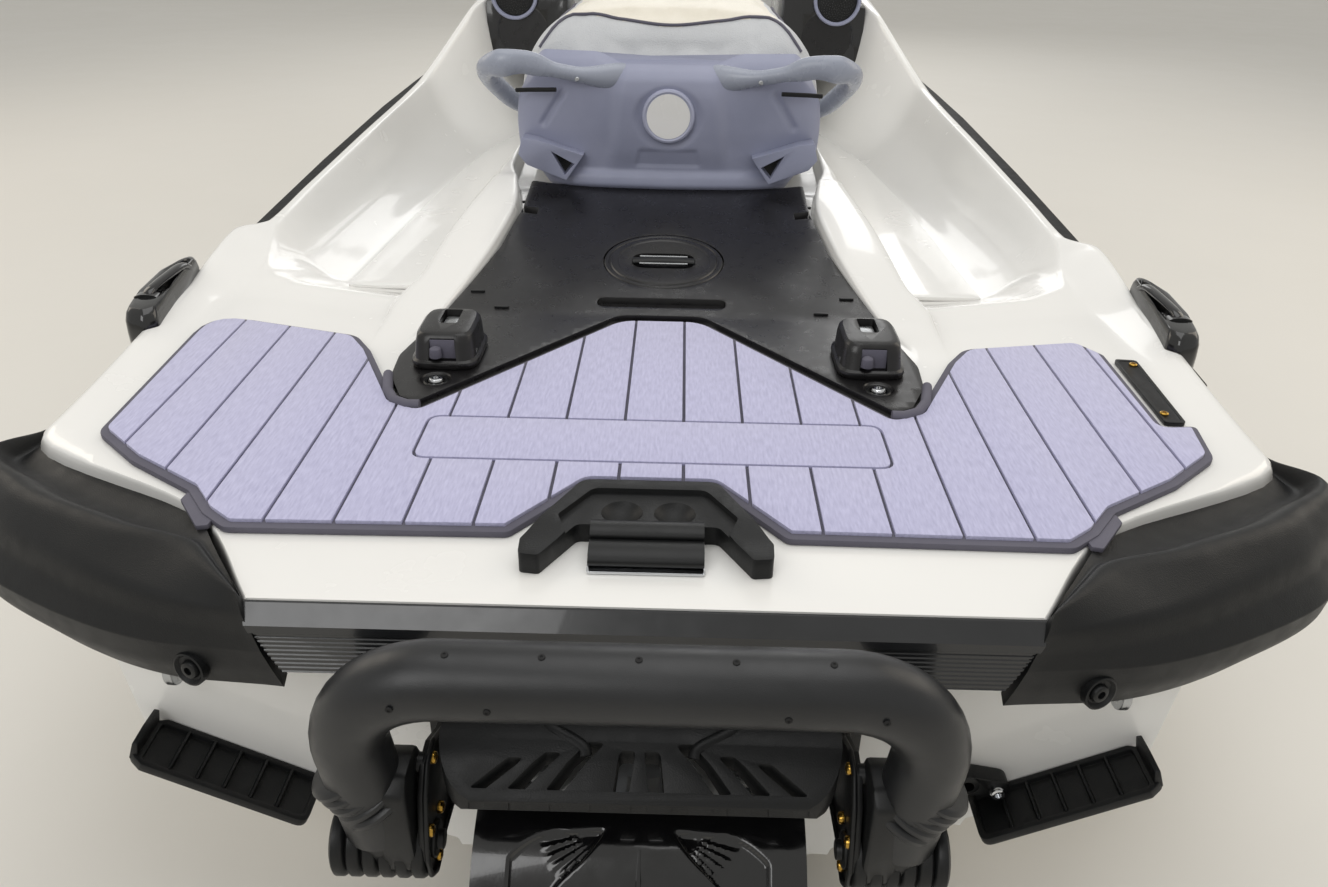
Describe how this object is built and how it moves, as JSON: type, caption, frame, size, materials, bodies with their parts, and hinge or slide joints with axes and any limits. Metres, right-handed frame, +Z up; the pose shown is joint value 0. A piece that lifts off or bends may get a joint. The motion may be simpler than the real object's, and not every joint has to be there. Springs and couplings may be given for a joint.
{
  "type": "three-seat personal watercraft",
  "caption": "Sit-down personal watercraft with a wide stern platform, folding ladder, removable rear seat, hinged front lid and a steered jet drive.",
  "frame": {"origin": "on the waterline, on the centreline, amidships", "axes": "+Y ahead to the bow, +X to starboard, +Z up"},
  "size_m": [1.2638, 3.557, 1.1429],
  "materials": {
    "hull_gelcoat": "gloss gelcoat",
    "deck_gelcoat": "gloss gelcoat",
    "engine_alloy": "cast",
    "rub_rubber": "satin",
    "black_plastic": "fine grain",
    "plate_black": "gloss",
    "dark_metal": "satin powder coat",
    "mat_foam": "brushed closed-cell foam",
    "grey_plastic": "fine grain",
    "seat_vinyl": "grained marine vinyl",
    "grip_rubber": "ribbed",
    "ladder_foam": "skinned foam",
    "jet_alloy": "cast and painted",
    "jet_steel": "brushed"
  },
  "bodies": {
    "hull": {"hull_lower": "hull_gelcoat", "deck": "deck_gelcoat", "console": "deck_gelcoat", "front_cowl": "deck_gelcoat", "engine_block": "engine_alloy", "rub_rail": "rub_rubber", "bumper_left": "black_plastic", "bumper_right": "black_plastic", "transom_trim": "black_plastic", "platform_mat": "mat_foam", "footwell_mats": "mat_foam", "centre_plate": "plate_black", "deck_cap": "plate_black", "cargo_posts": "plate_black", "tow_bracket": "dark_metal", "cleats": "black_plastic", "badge_plate": "black_plastic", "driver_seat": "seat_vinyl", "side_panels": "plate_black", "speakers": "black_plastic", "gauge": "plate_black", "mirrors": "plate_black", "pump_housing": "jet_alloy", "pump_cover": "black_plastic", "ride_plate": "jet_alloy", "intake_grate": "jet_alloy", "sponsons": "black_plastic", "boarding_steps": "black_plastic", "ladder_brackets": "black_plastic", "bow_eye": "jet_steel", "stern_eyes": "jet_steel"},
    "steering": {"handlebar": "dark_metal", "grips": "grip_rubber", "steering_pad": "black_plastic"},
    "nozzle": {"nozzle": "jet_alloy"},
    "reverse_gate": {"reverse_gate": "plate_black"},
    "ladder": {"ladder": "ladder_foam"},
    "front_lid": {"front_lid": "deck_gelcoat"},
    "glove_lid": {"glove_lid": "black_plastic"},
    "passenger_seat": {"passenger_seat": "seat_vinyl", "seat_tail": "grey_plastic", "grab_handles": "grey_plastic"},
    "impeller": {"impeller": "jet_steel"}
  },
  "joints": [
    {"name": "steering", "type": "hinge", "parent": "hull", "child": "steering", "pos_m": [0, 0.845, 0.642], "axis": [0, -0.4226, 0.9063], "range_deg": [-22, 22]},
    {"name": "nozzle", "type": "hinge", "parent": "hull", "child": "nozzle", "pos_m": [0, -1.5, -0.1], "axis": [0, 0, 1], "range_deg": [-20, 20]},
    {"name": "reverse_gate", "type": "hinge", "parent": "hull", "child": "reverse_gate", "pos_m": [0, -1.5, -0.1], "axis": [1, 0, 0], "range_deg": [-40, 45]},
    {"name": "ladder", "type": "hinge", "parent": "hull", "child": "ladder", "pos_m": [0, -1.55, -0.01], "axis": [1, 0, 0], "range_deg": [0, 150], "stiffness_Nm_per_rad": 1.5, "springref_deg": -22.92},
    {"name": "front_lid", "type": "hinge", "parent": "hull", "child": "front_lid", "pos_m": [0, 1.555, 0.52557], "axis": [-1, 0, 0], "range_deg": [0, 55]},
    {"name": "glove_lid", "type": "hinge", "parent": "hull", "child": "glove_lid", "pos_m": [0, 0.668, 0.59502], "axis": [1, 0, 0], "range_deg": [0, 95]},
    {"name": "passenger_seat_lift", "type": "slide", "parent": "hull", "child": "passenger_seat", "axis": [0, 0, 1], "range_m": [0, 0.25]},
    {"name": "impeller", "type": "hinge", "parent": "hull", "child": "impeller", "pos_m": [0, -1.33, -0.1], "axis": [0, 1, 0], "continuous": true}
  ],
  "couplings": [
    {"joint": "nozzle", "follows": "steering", "ratio": -0.909}
  ]
}
